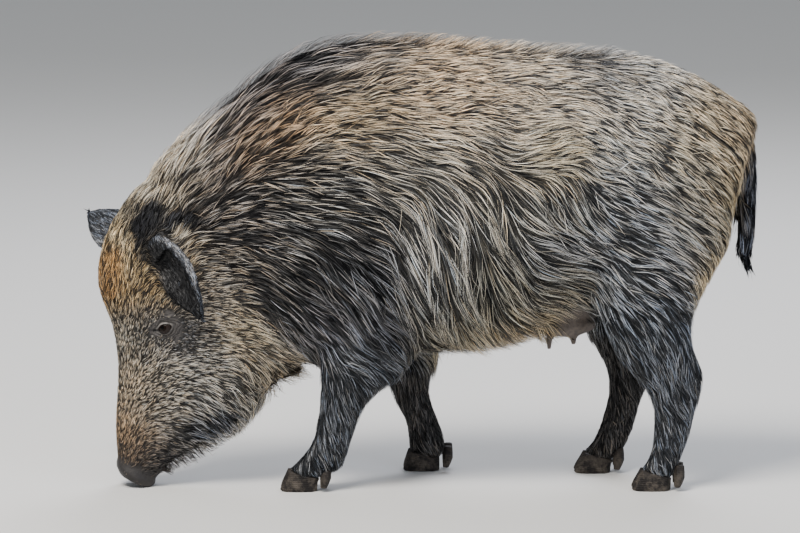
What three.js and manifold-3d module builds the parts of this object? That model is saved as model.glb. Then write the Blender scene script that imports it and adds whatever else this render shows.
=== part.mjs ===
// A life-size wild boar sow in winter coat, rooting with its snout on the ground.
// Millimetres, +Z up. The head is towards -X and the sow's left side towards -Y.
// The solids give the outline out to the tips of the coat. Body, neck and head are one loft,
// joined with the lofted legs and parted by thin cuts where a person names the parts. Ears, tail,
// udder, hooves and dewclaws are solids of their own, cut clear of the rest.
import * as THREE from "three";
import { mergeVertices } from "three/addons/utils/BufferGeometryUtils.js";
import Module from "manifold-3d";

const wasm = await Module();
wasm.setup();

// ---------- driving dimensions ----------
const WITHERS_HEIGHT = 820; // ground to the tips of the mane over the shoulders
const BELLY_CLEARANCE = 228; // ground to the tips of the belly hair
const CHEST_HALF = 160; // half the width over the shoulders, with the coat
const RIB_HALF = 184; // half the width at the widest rib
const NECK_HALF = 138;
const CHEEK_HALF = 98;
const SNOUT_HALF = 38;
const EYE_RADIUS = 13;
const EYES = { eye_left: [-417, -112, 297], eye_right: [-449, 31, 305] };
const EAR_HALF = 44; // half the width of the ear's leaf
const EAR_DEPTH = 21; // how deep its cup is
const HOOF_HEIGHT = 36; // at the toe
const HOOF_HALF = 13; // half the width of one toe
const TOE_SPREAD = 14; // from the middle of the foot to the middle of a toe
const DEWCLAW_SPREAD = 21;
const GAP = 0.4; // between pieces that meet
const FAR = 3000; // longer than the whole animal

// ---------- closed solids ----------
// A manifold solid from a closed geometry.
function solidOf(geometry) {
  const bare = geometry.index ? geometry.toNonIndexed() : geometry.clone();
  bare.deleteAttribute("normal");
  bare.deleteAttribute("uv");
  const merged = mergeVertices(bare, 1e-4);
  const mesh = { numProp: 3, vertProperties: merged.attributes.position.array };
  const made = new wasm.Manifold(new wasm.Mesh({ ...mesh, triVerts: new Uint32Array(merged.index.array) }));
  if (made.volume() > 0) return made;
  const inwards = new Uint32Array(merged.index.array).reverse();
  return new wasm.Manifold(new wasm.Mesh({ ...mesh, triVerts: inwards }));
}

// A three.js geometry from a manifold solid.
function geometryOf(solid) {
  const { vertProperties, triVerts } = solid.getMesh();
  const geometry = new THREE.BufferGeometry();
  geometry.setAttribute("position", new THREE.BufferAttribute(vertProperties, 3));
  geometry.setIndex(new THREE.BufferAttribute(triVerts, 1));
  geometry.computeVertexNormals();
  return geometry;
}

// A closed loft through named sections, smooth between them, as a geometry. Each section has the two ends of
// its long axis in the side view as [x, z] (over and under on the body, front and back on a leg),
// the sideways place y and half width of its middle, how much wider its under half is (egg),
// how boxy it is (box), and how far it is rolled about the lengthwise axis, in degrees.
function loftGeometry(sections, { around, rings, grow = 0 }) {
  const curve = (pick) => new THREE.CatmullRomCurve3(sections.map(pick), false, "catmullrom", 0.5);
  const overs = curve(({ over }) => new THREE.Vector3(over[0], 0, over[1]));
  const unders = curve(({ under }) => new THREE.Vector3(under[0], 0, under[1]));
  const middles = curve(({ y = 0, half, roll = 0 }) => new THREE.Vector3(y, half, roll));
  const forms = curve(({ egg = 0, box = 0 }) => new THREE.Vector3(egg, box, 0));
  const sideways = new THREE.Vector3(0, 1, 0);
  const position = [];
  const index = [];
  for (let ring = 0; ring <= rings; ring++) {
    const t = ring / rings;
    const over = overs.getPoint(t);
    const under = unders.getPoint(t);
    const { x: y, y: half, z: roll } = middles.getPoint(t);
    const { x: egg, y: box } = forms.getPoint(t);
    const middle = over.clone().add(under).multiplyScalar(0.5).setY(y);
    const onwards = overs.getTangent(t).add(unders.getTangent(t)).normalize();
    if (ring === 0) middle.addScaledVector(onwards, -grow);
    if (ring === rings) middle.addScaledVector(onwards, grow);
    const upright = over.clone().sub(under).multiplyScalar(0.5);
    const reach = upright.length() + grow;
    upright.normalize();
    const lengthwise = sideways.clone().cross(upright).normalize();
    const turn = new THREE.Quaternion().setFromAxisAngle(lengthwise, THREE.MathUtils.degToRad(roll));
    const up = upright.applyQuaternion(turn);
    const out = sideways.clone().applyQuaternion(turn);
    for (let step = 0; step < around; step++) {
      const angle = (step / around) * 2 * Math.PI;
      const side = Math.sin(angle);
      const high = Math.cos(angle);
      const wide = (half + grow) * Math.sign(side) * Math.abs(side) ** (1 - box) * (1 - egg * high);
      const point = middle.clone().addScaledVector(up, reach * high).addScaledVector(out, wide);
      position.push(point.x, point.y, point.z);
    }
    if (ring === 0) continue;
    for (let step = 0; step < around; step++) {
      const next = (step + 1) % around;
      const [a, b] = [(ring - 1) * around + step, (ring - 1) * around + next];
      const [c, d] = [ring * around + step, ring * around + next];
      index.push(a, b, c, b, d, c);
    }
  }
  for (const [ring, flip] of [[0, false], [rings, true]]) {
    const hub = position.length / 3;
    const centre = new THREE.Vector3();
    for (let step = 0; step < around; step++) {
      centre.add(new THREE.Vector3().fromArray(position, (ring * around + step) * 3));
    }
    position.push(...centre.divideScalar(around).toArray());
    for (let step = 0; step < around; step++) {
      const [a, b] = [ring * around + step, ring * around + ((step + 1) % around)];
      index.push(...(flip ? [hub, a, b] : [hub, b, a]));
    }
  }
  const geometry = new THREE.BufferGeometry();
  geometry.setAttribute("position", new THREE.BufferAttribute(new Float32Array(position), 3));
  geometry.setIndex(index);
  return geometry;
}

const loft = (sections, options) => solidOf(loftGeometry(sections, options));

// Everything on one side of a sheet that runs straight across the body. The sheet goes through
// `at` and faces `towards`, both [x, z] in the side view, and stands `shift` further that way.
function beyond(at, towards, shift = 0) {
  const block = new THREE.BoxGeometry(FAR, FAR, FAR).translate(FAR / 2 + shift, 0, 0);
  return solidOf(block.rotateY(-Math.atan2(towards[1], towards[0])).translate(at[0], 0, at[1]));
}

// Parts a solid in two at a sheet from `low` to `high` in the side view, and returns the part on
// the snout's side, then the part on the tail's side.
function part(solid, low, high) {
  const ahead = [low[1] - high[1], high[0] - low[0]];
  const behind = ahead.map((v) => -v);
  return [beyond(low, ahead, GAP / 2), beyond(low, behind, GAP / 2)].map((half) => solid.intersect(half));
}

// Cuts out of a solid all that a convex outline in the side view holds, between two sideways
// places, and returns what was cut out, then what is left. The outline runs anticlockwise with
// the snout to the left.
function carve(solid, outline, [right, left] = [-FAR / 2, FAR / 2]) {
  const [inside, held] = [GAP / 2, -GAP / 2].map((shift) => {
    const block = new THREE.BoxGeometry(FAR, left - right - 2 * shift, FAR).translate(0, (left + right) / 2, 0);
    return outline.reduce((region, [x, z], i) => {
      const [nextX, nextZ] = outline[(i + 1) % outline.length];
      return region.intersect(beyond([x, z], [z - nextZ, nextX - x], shift));
    }, solidOf(block));
  });
  return [solid.intersect(inside), solid.subtract(held)];
}

// ---------- body, neck and head ----------
// From the nose disc, along the face and neck, over the withers to the tail root. The sections of
// head and neck fan round the throat, and the head is turned a little to its left.
const BODY_SECTIONS = [
  { name: "nose face", over: [-504, 22], under: [-448, -4], y: -52, half: SNOUT_HALF - 3, box: 0.2, roll: 6 },
  { name: "nose disc", over: [-511, 38], under: [-440, 4], y: -51, half: SNOUT_HALF, box: 0.2, roll: 7 },
  { name: "nose groove", over: [-509, 54], under: [-428, 14], y: -49, half: SNOUT_HALF - 3, box: 0.2, roll: 8 },
  { name: "lips", over: [-514, 95], under: [-370, 40], y: -43, half: SNOUT_HALF + 6, egg: 0.12, roll: 10 },
  { name: "snout", over: [-514, 150], under: [-314, 70], y: -37, half: SNOUT_HALF + 18, egg: 0.22, roll: 12 },
  { name: "cheeks", over: [-512, 225], under: [-252, 122], y: -30, half: 82, egg: 0.32, roll: 13 },
  { name: "eyes", over: [-522, 295], under: [-205, 178], y: -26, half: 96, egg: 0.3, roll: 13 },
  { name: "forehead", over: [-546, 362], under: [-172, 205], y: -24, half: CHEEK_HALF + 6, egg: 0.24, roll: 13 },
  { name: "ears", over: [-541, 432], under: [-158, 212], y: -20, half: CHEEK_HALF + 14, egg: 0.2, roll: 11 },
  { name: "poll", over: [-502, 510], under: [-146, 206], y: -13, half: NECK_HALF - 10, egg: 0.2, roll: 8 },
  { name: "neck", over: [-428, 598], under: [-135, 198], y: -6, half: NECK_HALF, egg: 0.2, roll: 4 },
  { name: "neck root", over: [-326, 696], under: [-118, 194], y: -2, half: CHEST_HALF - 12, egg: 0.22 },
  { name: "mane", over: [-216, 782], under: [-86, 200], half: CHEST_HALF, egg: 0.22 },
  { name: "withers", over: [-100, WITHERS_HEIGHT - 3], under: [-44, 212], half: CHEST_HALF + 8, egg: 0.2 },
  { name: "girth", over: [10, WITHERS_HEIGHT], under: [20, 222], half: CHEST_HALF + 16, egg: 0.16 },
  { name: "ribs", over: [120, WITHERS_HEIGHT - 10], under: [115, BELLY_CLEARANCE], half: RIB_HALF, egg: 0.13 },
  { name: "belly", over: [230, 800], under: [216, 246], half: RIB_HALF, egg: 0.1 },
  { name: "flank", over: [340, 793], under: [318, 298], half: RIB_HALF - 12, egg: 0.04 },
  { name: "loin", over: [440, 778], under: [420, 306], half: RIB_HALF - 22, egg: 0 },
  { name: "croup", over: [525, 746], under: [500, 326], half: 152, egg: -0.02, box: 0.06 },
  { name: "rump", over: [590, 708], under: [562, 392], half: 134, egg: 0, box: 0.12 },
  { name: "buttock", over: [630, 680], under: [594, 482], half: 112, egg: 0.05, box: 0.12 },
  { name: "tail root", over: [647, 652], under: [613, 586], half: 52, box: 0.05 },
];
const BODY = { around: 22, rings: 44 };

// ---------- legs ----------
// Each leg is a loft from inside the body down to the coronet, where the hooves begin. The left
// foreleg and the right hind leg are ahead in the stride.
const LEG = { around: 12, rings: 15 };
const HOOF = { around: 8, rings: 4 };
const DEWCLAW = { around: 6, rings: 4 };
const LEGS = {
  foreleg_left: {
    sections: [
      { name: "shoulder blade", over: [-150, 560], under: [30, 545], y: -66, half: 58 },
      { name: "shoulder point", over: [-160, 420], under: [50, 420], y: -88, half: 60 },
      { name: "elbow", over: [-150, 305], under: [50, 290], y: -95, half: 54 },
      { name: "forearm", over: [-147, 240], under: [18, 222], y: -98, half: 46 },
      { name: "low forearm", over: [-146, 184], under: [-44, 174], y: -97, half: 37 },
      { name: "knee", over: [-149, 136], under: [-72, 130], y: -96, half: 32 },
      { name: "cannon", over: [-156, 92], under: [-88, 84], y: -96, half: 28 },
      { name: "fetlock", over: [-178, 60], under: [-102, 44], y: -96, half: 31 },
      { name: "coronet", over: [-202, HOOF_HEIGHT + 2], under: [-142, 24], y: -96, half: 29 },
    ],
    sole: [-216, -148],
  },
  foreleg_right: {
    sections: [
      { name: "shoulder blade", over: [-110, 560], under: [60, 545], y: 66, half: 58 },
      { name: "shoulder point", over: [-118, 420], under: [85, 420], y: 88, half: 60 },
      { name: "elbow", over: [-80, 305], under: [88, 290], y: 95, half: 54 },
      { name: "forearm", over: [-56, 236], under: [78, 222], y: 98, half: 45 },
      { name: "low forearm", over: [-36, 184], under: [62, 178], y: 97, half: 36 },
      { name: "knee", over: [-16, 140], under: [56, 136], y: 96, half: 32 },
      { name: "cannon", over: [8, 94], under: [72, 90], y: 96, half: 28 },
      { name: "fetlock", over: [14, 60], under: [84, 48], y: 96, half: 31 },
      { name: "coronet", over: [14, HOOF_HEIGHT + 2], under: [74, 24], y: 96, half: 29 },
    ],
    sole: [4, 72],
  },
  hindleg_left: {
    sections: [
      { name: "hip", over: [350, 630], under: [585, 630], y: -58, half: 56 },
      { name: "upper thigh", over: [328, 540], under: [597, 550], y: -70, half: 72 },
      { name: "thigh", over: [322, 450], under: [602, 465], y: -80, half: 74 },
      { name: "low thigh", over: [332, 350], under: [556, 372], y: -90, half: 66 },
      { name: "stifle", over: [352, 300], under: [524, 308], y: -92, half: 56 },
      { name: "gaskin", over: [374, 258], under: [528, 255], y: -92, half: 46 },
      { name: "low gaskin", over: [400, 220], under: [545, 216], y: -92, half: 38 },
      { name: "hock", over: [438, 180], under: [540, 184], y: -91, half: 33 },
      { name: "cannon top", over: [452, 146], under: [530, 150], y: -90, half: 29 },
      { name: "cannon", over: [452, 98], under: [519, 100], y: -90, half: 27 },
      { name: "fetlock", over: [447, 62], under: [503, 54], y: -90, half: 29 },
      { name: "coronet", over: [430, HOOF_HEIGHT + 2], under: [487, 24], y: -90, half: 28 },
    ],
    sole: [413, 484],
  },
  hindleg_right: {
    sections: [
      { name: "hip", over: [330, 630], under: [578, 630], y: 58, half: 56 },
      { name: "upper thigh", over: [300, 540], under: [590, 550], y: 70, half: 72 },
      { name: "thigh", over: [290, 450], under: [590, 465], y: 80, half: 74 },
      { name: "low thigh", over: [298, 350], under: [530, 372], y: 87, half: 66 },
      { name: "stifle", over: [312, 300], under: [486, 308], y: 86, half: 56 },
      { name: "gaskin", over: [334, 258], under: [470, 255], y: 84, half: 46 },
      { name: "low gaskin", over: [358, 220], under: [472, 216], y: 82, half: 38 },
      { name: "hock", over: [376, 182], under: [466, 186], y: 80, half: 33 },
      { name: "cannon top", over: [380, 146], under: [446, 148], y: 79, half: 29 },
      { name: "cannon", over: [370, 104], under: [432, 102], y: 78, half: 27 },
      { name: "fetlock", over: [356, 64], under: [418, 56], y: 77, half: 29 },
      { name: "coronet", over: [334, HOOF_HEIGHT + 2], under: [392, 24], y: 76, half: 28 },
    ],
    sole: [316, 384],
  },
};

// One toe's hoof, from just under the coronet to its flat sole.
function hoof({ sections, sole: [toe, heel] }, side) {
  const { over: [front, frontTop], under: [back, backTop], y } = sections.at(-1);
  const middle = y + side * TOE_SPREAD;
  return loft([
    { over: [front + 1, frontTop - 0.5], under: [back - 1, backTop - 0.5], half: HOOF_HALF - 1.5 },
    { over: [0.6 * front + 0.4 * toe, 0.6 * frontTop], under: [heel + 1, 0.6 * backTop], half: HOOF_HALF },
    { over: [toe + 1, 6], under: [heel + 1, 5], half: HOOF_HALF },
    { over: [toe + 4, 0], under: [heel - 1, 0], half: HOOF_HALF - 1 },
  ].map((section) => ({ ...section, y: middle, box: 0.28 })), HOOF);
}

// One dewclaw, behind the pastern, clear of the ground.
function dewclaw({ sections, sole: [, heel] }, side) {
  const middle = sections.at(-1).y + side * DEWCLAW_SPREAD;
  return loft([
    { over: [heel + 8, 46], under: [heel + 24, 46], y: middle - side * 5, half: 8, box: 0.1 },
    { over: [heel + 5, 26], under: [heel + 25, 25], y: middle, half: 9, box: 0.1 },
    { over: [heel + 6, 8], under: [heel + 17, 7], y: middle + side, half: 5, box: 0.1 },
  ], DEWCLAW);
}

// ---------- ears, eyes, tail and udder ----------
// An ear is a pointed leaf, hollowed on the side it opens to. `root` lies inside the head.
const EAR = { around: 10, rings: 7 };
const EARS = {
  ear_left: { root: [-442, -119, 452], tip: [-347, -210, 334], opens: [-0.32, -0.82, -0.3] },
  ear_right: { root: [-476, 38, 420], tip: [-565, 98, 474], opens: [-0.25, 0.9, -0.25] },
};
const EAR_FORM = [
  { along: 0, wide: 0.55, deep: 0.7 },
  { along: 0.2, wide: 0.86, deep: 0.95 },
  { along: 0.42, wide: 1, deep: 1 },
  { along: 0.66, wide: 0.84, deep: 0.8 },
  { along: 0.86, wide: 0.46, deep: 0.5 },
  { along: 1, wide: 0.12, deep: 0.2 },
];
function ear({ root, tip, opens }) {
  const [from, to] = [root, tip].map((v) => new THREE.Vector3(...v));
  const long = to.distanceTo(from);
  const lengthwise = to.clone().sub(from).normalize();
  const across = new THREE.Vector3(...opens).cross(lengthwise).normalize();
  const facing = lengthwise.clone().cross(across);
  const frame = new THREE.Matrix4().makeBasis(lengthwise, across, facing).setPosition(from);
  const leaf = EAR_FORM.map(({ along, wide, deep }) => ({
    over: [along * long, 8], under: [along * long, -EAR_DEPTH * deep], half: EAR_HALF * wide,
  }));
  const cup = EAR_FORM.slice(1, -1).map(({ along, wide, deep }) => ({
    over: [along * long, 42], under: [along * long, 7 - EAR_DEPTH * deep], half: (EAR_HALF - 6) * wide,
  }));
  const [shell, hollow] = [leaf, cup].map((form) => solidOf(loftGeometry(form, EAR).applyMatrix4(frame)));
  return shell.subtract(hollow);
}

const ball = (radius, [x, y, z]) => solidOf(new THREE.SphereGeometry(radius, 10, 7).translate(x, y, z));

const TAIL = { around: 10, rings: 10 };
const TAIL_SECTIONS = [
  { name: "dock", over: [634, 640], under: [603, 607], half: 24 },
  { name: "tail top", over: [642, 592], under: [606, 584], half: 21 },
  { name: "tail middle", over: [643, 540], under: [606, 538], half: 18 },
  { name: "tail low", over: [643, 488], under: [604, 486], half: 17 },
  { name: "tuft", over: [642, 446], under: [600, 444], half: 18 },
  { name: "tuft end", over: [634, 416], under: [601, 414], half: 13 },
  { name: "hair tips", over: [624, 398], under: [610, 398], half: 5 },
];

// The last two pairs of teats hang bare in front of the thighs.
const UDDER = { place: [292, 0, 290], size: [68, 42, 29] };
const TEATS = [{ x: 268, out: 24, tip: 242 }, { x: 312, out: 22, tip: 249 }];
const TEAT_PROFILE = [[0, 0], [5, 0], [6.5, 6], [9, 22], [15, 34], [0, 34]];
function udder() {
  const bag = solidOf(new THREE.SphereGeometry(1, 12, 8).scale(...UDDER.size).translate(...UDDER.place));
  const profile = TEAT_PROFILE.map(([r, h]) => new THREE.Vector2(r, h));
  return TEATS.flatMap(({ x, out, tip }) => [[x, -out, tip], [x, out, tip]]).reduce((all, [x, y, tip]) => {
    const teat = new THREE.LatheGeometry(profile, 7).rotateX(Math.PI / 2).translate(x, y, tip);
    return all.add(solidOf(teat));
  }, bag);
}

// ---------- joining and parting ----------
const ground = beyond([0, 0], [0, 1]);
const legs = Object.values(LEGS);
function joined(grow) {
  const body = loft(BODY_SECTIONS, { ...BODY, grow });
  return legs.reduce((sum, { sections }) => sum.add(loft(sections, { ...LEG, grow })), body);
}
const animal = joined(0).intersect(ground);
const hollowFor = joined(GAP);
const pieces = new Map();

// Eyes sit in round sockets.
let rest = animal;
for (const [name, place] of Object.entries(EYES)) {
  pieces.set(name, ball(EYE_RADIUS, place));
  rest = rest.subtract(ball(EYE_RADIUS + GAP, place));
}
for (const [name, form] of Object.entries(EARS)) pieces.set(name, ear(form).subtract(hollowFor));
const [tail, tailTuft] = part(loft(TAIL_SECTIONS, TAIL).subtract(hollowFor), [560, 452], [700, 452]);
pieces.set("tail", tail).set("tail_tuft", tailTuft);
pieces.set("udder", udder().subtract(hollowFor));

// Head and neck, parted behind the ears, across the mouth and across the snout.
let head, neck, body;
[head, body] = carve(rest, [[-900, -60], [-250, -60], [-160, 180], [-345, 700], [-900, 1000]]);
[head, neck] = part(head, [-150, 200], [-470, 545]);
const MOUTH = [[-440, -60], [-300, -60], [-150, 120], [-205, 190], [-360, 140], [-434, 12]];
const [lowerJaw, skull] = carve(head, MOUTH);
const [snoutAndNose, face] = part(skull, [-314, 70], [-514, 150]);
const [noseDisc, snout] = part(snoutAndNose, [-428, 12], [-511, 52]);
pieces.set("nose_disc", noseDisc).set("snout", snout).set("lower_jaw", lowerJaw);
pieces.set("head", face).set("neck", neck);

// Legs, parted at the body, at the knee or hock, and over the shoulder or thigh.
const FORELEG_OUTLINE = [[-330, -60], [62, -60], [62, 205], [-180, 235]];
const FORELEG_BACK_OUTLINE = [[-75, -60], [140, -60], [120, 214], [-75, 208]];
const SHOULDER_OUTLINE = [[-240, 120], [80, 120], [88, 330], [20, 560], [-150, 590], [-230, 400]];
const HINDLEG_OUTLINE = [[335, -60], [660, -60], [660, 330], [335, 262]];
const HINDLEG_FORWARD_OUTLINE = [[270, -60], [600, -60], [600, 326], [300, 262]];
const THIGH_OUTLINE = [[312, 180], [660, 180], [680, 560], [430, 650], [318, 520]];
const CUTS = {
  foreleg_left: [FORELEG_OUTLINE, SHOULDER_OUTLINE],
  foreleg_right: [FORELEG_BACK_OUTLINE, SHOULDER_OUTLINE],
  hindleg_left: [HINDLEG_OUTLINE, THIGH_OUTLINE],
  hindleg_right: [HINDLEG_FORWARD_OUTLINE, THIGH_OUTLINE],
};
const [FORE_PARTS, HIND_PARTS] = [["knee", "forearm", "shoulder"], ["hock", "shank", "thigh"]];
for (const [leg, [outline, upperOutline]] of Object.entries(CUTS)) {
  const [joint, lowerName, upperName] = leg.startsWith("fore") ? FORE_PARTS : HIND_PARTS;
  const side = leg.endsWith("left") ? -1 : 1;
  const sideways = (inner) => (side < 0 ? [-FAR / 2, -inner] : [inner, FAR / 2]);
  const { sections } = LEGS[leg];
  const bend = sections.find(({ name }) => name === joint);
  let lower, upper;
  [lower, body] = carve(body, outline, sideways(leg.startsWith("fore") ? 42 : 0));
  const above = beyond(bend.over, [bend.over[1] - bend.under[1], bend.under[0] - bend.over[0]], GAP / 2);
  const below = beyond(bend.over, [bend.under[1] - bend.over[1], bend.over[0] - bend.under[0]], GAP / 2);
  pieces.set(`${leg}_${lowerName}`, lower.intersect(above));
  pieces.set(`${leg}_cannon`, lower.intersect(below));
  [upper, body] = carve(body, upperOutline, sideways(58));
  pieces.set(`${leg}_${upperName}`, upper);
  for (const [place, toe] of Object.entries({ inner: -side, outer: side })) {
    pieces.set(`${leg}_hoof_${place}`, hoof(LEGS[leg], toe));
    pieces.set(`${leg}_dewclaw_${place}`, dewclaw(LEGS[leg], toe).subtract(hollowFor));
  }
}

// What is left of the trunk, in front of, over and behind the ribs.
const [forequarters, behindShoulders] = part(body, [100, 0], [100, 900]);
const [barrel, hindquarters] = part(behindShoulders, [304, 0], [304, 900]);
pieces.set("forequarters", forequarters).set("barrel", barrel).set("hindquarters", hindquarters);

// ---------- the animal ----------
const COLOURS = { coat: 0x4a443d, nose: 0x3b3532, horn: 0x2b2622, eye: 0x120d0a, udder: 0x57504b };
const colourOf = (name) => {
  if (name.startsWith("eye_")) return COLOURS.eye;
  if (name.includes("hoof") || name.includes("dewclaw")) return COLOURS.horn;
  return COLOURS[{ nose_disc: "nose", udder: "udder" }[name] ?? "coat"];
};
const root = new THREE.Group();
for (const [name, solid] of pieces) {
  const material = new THREE.MeshStandardMaterial({ color: colourOf(name), roughness: 0.8 });
  const mesh = new THREE.Mesh(geometryOf(solid), material);
  mesh.name = name;
  root.add(mesh);
}

// The origin is the middle of the animal's bounding box, on the ground.
const box = new THREE.Box3().setFromObject(root);
root.position.set(-(box.min.x + box.max.x) / 2, -(box.min.y + box.max.y) / 2, -box.min.z);

export default root;
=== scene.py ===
import math

import bmesh
import bpy
import numpy as np
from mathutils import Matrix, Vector
from mathutils.bvhtree import BVHTree
from mathutils.kdtree import KDTree


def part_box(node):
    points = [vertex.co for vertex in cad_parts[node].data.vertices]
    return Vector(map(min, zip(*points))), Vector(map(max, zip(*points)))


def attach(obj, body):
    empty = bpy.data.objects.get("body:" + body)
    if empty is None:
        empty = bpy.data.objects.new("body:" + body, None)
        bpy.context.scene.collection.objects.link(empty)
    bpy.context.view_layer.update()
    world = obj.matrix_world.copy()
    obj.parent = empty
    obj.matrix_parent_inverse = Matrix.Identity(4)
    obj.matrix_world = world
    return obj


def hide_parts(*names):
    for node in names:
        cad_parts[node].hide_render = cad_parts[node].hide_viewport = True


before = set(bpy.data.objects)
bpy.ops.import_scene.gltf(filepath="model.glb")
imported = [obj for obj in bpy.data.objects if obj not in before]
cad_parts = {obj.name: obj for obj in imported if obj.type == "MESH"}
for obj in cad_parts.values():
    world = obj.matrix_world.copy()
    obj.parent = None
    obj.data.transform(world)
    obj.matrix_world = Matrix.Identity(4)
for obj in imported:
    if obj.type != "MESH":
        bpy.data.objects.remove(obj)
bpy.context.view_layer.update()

# ---------- the skin ----------
# A boar's hide is one skin from the snout to the tail, thick and grey under the coat, bare only on
# the nose, round the eyes and on the udder. It is made of every flesh solid of the frame, melted
# together, smoothed, and drawn in by the depth of the coat, with lids, nostrils and folds pressed in.
LEGS = ["foreleg_left", "foreleg_right", "hindleg_left", "hindleg_right"]
FLESH = ["nose_disc", "snout", "lower_jaw", "head", "neck", "forequarters", "barrel", "hindquarters",
         "udder", "tail", "tail_tuft", "ear_left", "ear_right"]
for leg in LEGS:
    upper, lower = ("shoulder", "forearm") if leg.startswith("fore") else ("thigh", "shank")
    FLESH += [f"{leg}_{upper}", f"{leg}_{lower}", f"{leg}_cannon"]
# How far the skin lies under the tips of the coat, in millimetres.
COAT_DEPTH = {"nose_disc": 0.8, "snout": 2.5, "lower_jaw": 12, "head": 5, "neck": 14, "forequarters": 16,
              "barrel": 14, "hindquarters": 12, "udder": 1, "tail": 6, "tail_tuft": 9, "ear": 1.2,
              "shoulder": 13, "forearm": 6, "thigh": 10, "shank": 6, "cannon": 3.5}
KINDS = list(COAT_DEPTH)
MANE_DEPTH = 0.016  # more than the rest, along the crest
MANE_HALF = 0.05  # half the width of the crest
FRINGE_DEPTH = 0.010  # more than the rest, under the belly and the jaw
SKIN_VOXEL = 0.0044
MELT = 0.0008  # how far the solids swell to close the cuts between them
TOUCHING = 0.00002  # points nearer than this are one
EYE_SQUARES = (0.040, 2)  # how far round an eye the squares are finer, and how often they are halved
NOSE_SQUARES = (0.055, 1)


def middle_of(node):
    """The middle of a node's box."""
    low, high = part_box(node)
    return (low + high) / 2


# Places along the body are measured from the point on the ground under the withers.
ZERO = np.array(middle_of("eye_left")) - (-0.417, -0.112, 0.297)


def kind_of(node):
    """The kind of flesh that a node is, by its name."""
    return next(kind for kind in sorted(KINDS, key=len, reverse=True) if kind in node)


def piece_from(mesh, name):
    made = bpy.data.objects.new(name, mesh)
    bpy.context.scene.collection.objects.link(made)
    return made


def remeshed(mesh, voxel):
    """A mesh of even squares over the outside of a closed mesh."""
    source = piece_from(mesh, "remeshed")
    modifier = source.modifiers.new("remesh", "REMESH")
    modifier.mode = "VOXEL"
    modifier.voxel_size = voxel
    seen = source.evaluated_get(bpy.context.evaluated_depsgraph_get())
    made = bpy.data.meshes.new_from_object(seen)
    bpy.data.objects.remove(source)
    return made


def smoothstep(low, high, value):
    """From 0 at low to 1 at high, with soft ends."""
    t = np.clip((value - low) / (high - low), 0, 1)
    return t * t * (3 - 2 * t)


def unit(vectors):
    return vectors / np.maximum(np.linalg.norm(vectors, axis=-1, keepdims=True), 1e-9)


def values_of(items, name, width, kind=np.float64):
    """One row of values for each item of a mesh."""
    flat = np.empty(len(items) * width, dtype=kind)
    items.foreach_get(name, flat)
    return flat.reshape(-1, width)


def spread(values, edges, times, share=0.5):
    """Evens out values along the skin. share may differ from point to point."""
    first, second = edges.T
    count = len(values)
    neighbours = np.bincount(first, minlength=count) + np.bincount(second, minlength=count)
    neighbours = np.maximum(neighbours, 1)[:, None]
    for _ in range(times):
        total = np.empty_like(values)
        for axis in range(values.shape[1]):
            total[:, axis] = (np.bincount(first, weights=values[second, axis], minlength=count)
                              + np.bincount(second, weights=values[first, axis], minlength=count))
        values = values + share * (total / neighbours - values)
    return values


def normals_of(mesh, co):
    """The normals of a mesh once its points have moved to co."""
    mesh.vertices.foreach_set("co", co.ravel())
    mesh.update()
    return values_of(mesh.vertex_normals, "vector", 3)


flesh = bmesh.new()
face_kind = []
for node in FLESH:
    flesh.from_mesh(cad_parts[node].data)
    face_kind += [KINDS.index(kind_of(node))] * (len(flesh.faces) - len(face_kind))
flesh_tree = BVHTree.FromBMesh(flesh)
bmesh.ops.remove_doubles(flesh, verts=flesh.verts, dist=TOUCHING)
bmesh.ops.recalc_face_normals(flesh, faces=flesh.faces)
for vert in flesh.verts:
    vert.co += vert.normal * MELT
melted = bpy.data.meshes.new("melted")
flesh.to_mesh(melted)
flesh.free()
hide = remeshed(melted, SKIN_VOXEL)

# Only the outer shell stays, with finer squares round the eyes and over the nose.
EYES = ["eye_left", "eye_right"]
NOSE = np.array(middle_of("nose_disc"))
shell = bmesh.new()
shell.from_mesh(hide)
left = set(shell.verts)
parts = []
while left:
    stack = [left.pop()]
    part = set(stack)
    while stack:
        for edge in stack.pop().link_edges:
            for vert in edge.verts:
                if vert in left:
                    left.discard(vert)
                    part.add(vert)
                    stack.append(vert)
    parts.append(part)
parts.sort(key=len)
bmesh.ops.delete(shell, geom=[vert for part in parts[:-1] for vert in part], context="VERTS")
finer = [(middle_of(eye), EYE_SQUARES) for eye in EYES] + [(Vector(NOSE), NOSE_SQUARES)]
for centre, (reach, levels) in finer:
    for level in range(levels):
        near = [edge for edge in shell.edges
                if all((vert.co - centre).length < reach - 0.005 * level for vert in edge.verts)]
        bmesh.ops.subdivide_edges(shell, edges=near, cuts=1, use_grid_fill=True)
bmesh.ops.triangulate(shell, faces=[face for face in shell.faces if len(face.verts) > 4])
shell.to_mesh(hide)
shell.free()

skin_edges = values_of(hide.edges, "vertices", 2, np.int64)
skin_co = values_of(hide.vertices, "co", 3)
labels = np.array([face_kind[flesh_tree.find_nearest(Vector(co))[2]] for co in skin_co])
belongs = spread(np.eye(len(KINDS))[labels], skin_edges, 8)  # the share of each kind at each point


def share_of(*kinds):
    return belongs[:, [KINDS.index(kind) for kind in kinds]].sum(axis=1, keepdims=True)


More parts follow.
